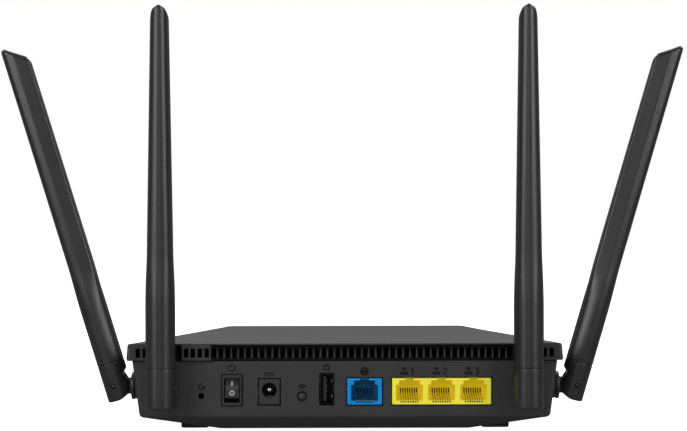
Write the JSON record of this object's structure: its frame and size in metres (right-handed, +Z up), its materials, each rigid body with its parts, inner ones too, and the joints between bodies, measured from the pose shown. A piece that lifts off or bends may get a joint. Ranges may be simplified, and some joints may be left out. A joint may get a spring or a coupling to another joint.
{
  "type": "wireless router",
  "caption": "Flat six-sided desktop router with a grilled overhanging cover, rear sockets and controls, and folding, swivelling antennas.",
  "frame": {"origin": "centre of the overall plan outline, on the surface that the feet stand on", "axes": "+Z up; the rear panel with the sockets faces -Y; +X is to the right seen from behind"},
  "size_m": [0.3229, 0.1473, 0.1855],
  "materials": {
    "case_plastic": "fine-grained black plastic",
    "antenna_plastic": "satin black plastic",
    "switch_plastic": "smooth black plastic",
    "blue_plastic": "moulded blue",
    "yellow_plastic": "moulded yellow",
    "dark_insulator": "moulded insulator",
    "clear_plastic": "clear moulded plastic",
    "board": "green solder mask over glass fibre",
    "chip": "epoxy package",
    "label": "blank silver film",
    "rubber": "black rubber",
    "steel": "plated steel",
    "tin": "tinned steel sheet",
    "aluminium": "extruded, plain",
    "gold": "gold-plated spring bronze",
    "lead": "jacketed coaxial lead"
  },
  "bodies": {
    "case": {"top_cover": "case_plastic", "base_shell": "case_plastic", "foot_rear_left": "rubber", "foot_rear_right": "rubber", "foot_front_left": "rubber", "foot_front_right": "rubber", "rating_label": "label", "light_pipe": "clear_plastic", "case_screw_1": "steel", "case_screw_2": "steel", "case_screw_3": "steel", "case_screw_4": "steel", "circuit_board": "board", "board_screw_left": "steel", "board_screw_right": "steel", "main_chip": "chip", "heat_sink": "aluminium", "shield_can_left": "tin", "shield_can_right": "tin", "wan_transformer": "chip", "lan_transformer": "chip", "wan_jack": "blue_plastic", "wan_contacts": "gold", "lan_jack_block": "yellow_plastic", "lan_contacts": "gold", "usb_shell": "tin", "usb_tongue": "dark_insulator", "dc_jack_body": "switch_plastic", "dc_jack_pin": "steel", "dc_jack_spring": "steel", "power_switch_body": "switch_plastic", "wps_switch": "chip", "reset_switch": "chip", "rear_left_lead": "lead", "rear_right_lead": "lead", "side_left_lead": "lead", "side_right_lead": "lead"},
    "rear_left_swivel": {"rear_left_stub": "antenna_plastic"},
    "rear_left_antenna": {"rear_left_hinge_pin": "steel", "rear_left_knuckle": "antenna_plastic", "rear_left_radome": "antenna_plastic", "rear_left_radiator": "board"},
    "rear_right_swivel": {"rear_right_stub": "antenna_plastic"},
    "rear_right_antenna": {"rear_right_hinge_pin": "steel", "rear_right_knuckle": "antenna_plastic", "rear_right_radome": "antenna_plastic", "rear_right_radiator": "board"},
    "side_left_swivel": {"side_left_stub": "antenna_plastic"},
    "side_left_antenna": {"side_left_hinge_pin": "steel", "side_left_knuckle": "antenna_plastic", "side_left_radome": "antenna_plastic", "side_left_radiator": "board"},
    "side_right_swivel": {"side_right_stub": "antenna_plastic"},
    "side_right_antenna": {"side_right_hinge_pin": "steel", "side_right_knuckle": "antenna_plastic", "side_right_radome": "antenna_plastic", "side_right_radiator": "board"},
    "rocker": {"power_rocker": "switch_plastic"},
    "wps": {"wps_button": "switch_plastic"},
    "reset": {"reset_plunger": "switch_plastic"}
  },
  "joints": [
    {"name": "rear_left_turn", "type": "hinge", "parent": "case", "child": "rear_left_swivel", "pos_m": [-0.0792, -0.0689, 0.0175], "axis": [0, 1, 0], "range_deg": [-90, 60]},
    {"name": "rear_left_fold", "type": "hinge", "parent": "rear_left_swivel", "child": "rear_left_antenna", "pos_m": [-0.0792, -0.0689, 0.0175], "axis": [1, 0, 0], "range_deg": [0, 90]},
    {"name": "rear_right_turn", "type": "hinge", "parent": "case", "child": "rear_right_swivel", "pos_m": [0.0792, -0.0689, 0.0175], "axis": [0, 1, 0], "range_deg": [-60, 90]},
    {"name": "rear_right_fold", "type": "hinge", "parent": "rear_right_swivel", "child": "rear_right_antenna", "pos_m": [0.0792, -0.0689, 0.0175], "axis": [1, 0, 0], "range_deg": [0, 90]},
    {"name": "side_left_turn", "type": "hinge", "parent": "case", "child": "side_left_swivel", "pos_m": [-0.1082, 0.007, 0.0142], "axis": [1, 0, 0], "range_deg": [-90, 90]},
    {"name": "side_left_fold", "type": "hinge", "parent": "side_left_swivel", "child": "side_left_antenna", "pos_m": [-0.1082, 0.007, 0.0142], "axis": [0, -1, 0], "range_deg": [-17.2, 72.8]},
    {"name": "side_right_turn", "type": "hinge", "parent": "case", "child": "side_right_swivel", "pos_m": [0.1082, 0.007, 0.0142], "axis": [1, 0, 0], "range_deg": [-90, 90]},
    {"name": "side_right_fold", "type": "hinge", "parent": "side_right_swivel", "child": "side_right_antenna", "pos_m": [0.1082, 0.007, 0.0142], "axis": [0, 1, 0], "range_deg": [-16.4, 73.6]},
    {"name": "power_rocker_tip", "type": "hinge", "parent": "case", "child": "rocker", "pos_m": [-0.049, -0.0556, 0.01815], "axis": [1, 0, 0], "range_deg": [0, 24]},
    {"name": "wps_press", "type": "slide", "parent": "case", "child": "wps", "axis": [0, 1, 0], "range_m": [0, 0.0008], "stiffness_N_per_m": 1000, "springref_m": -0.0004},
    {"name": "reset_press", "type": "slide", "parent": "case", "child": "reset", "axis": [0, 1, 0], "range_m": [0, 0.0006], "stiffness_N_per_m": 1000, "springref_m": -0.0004}
  ]
}
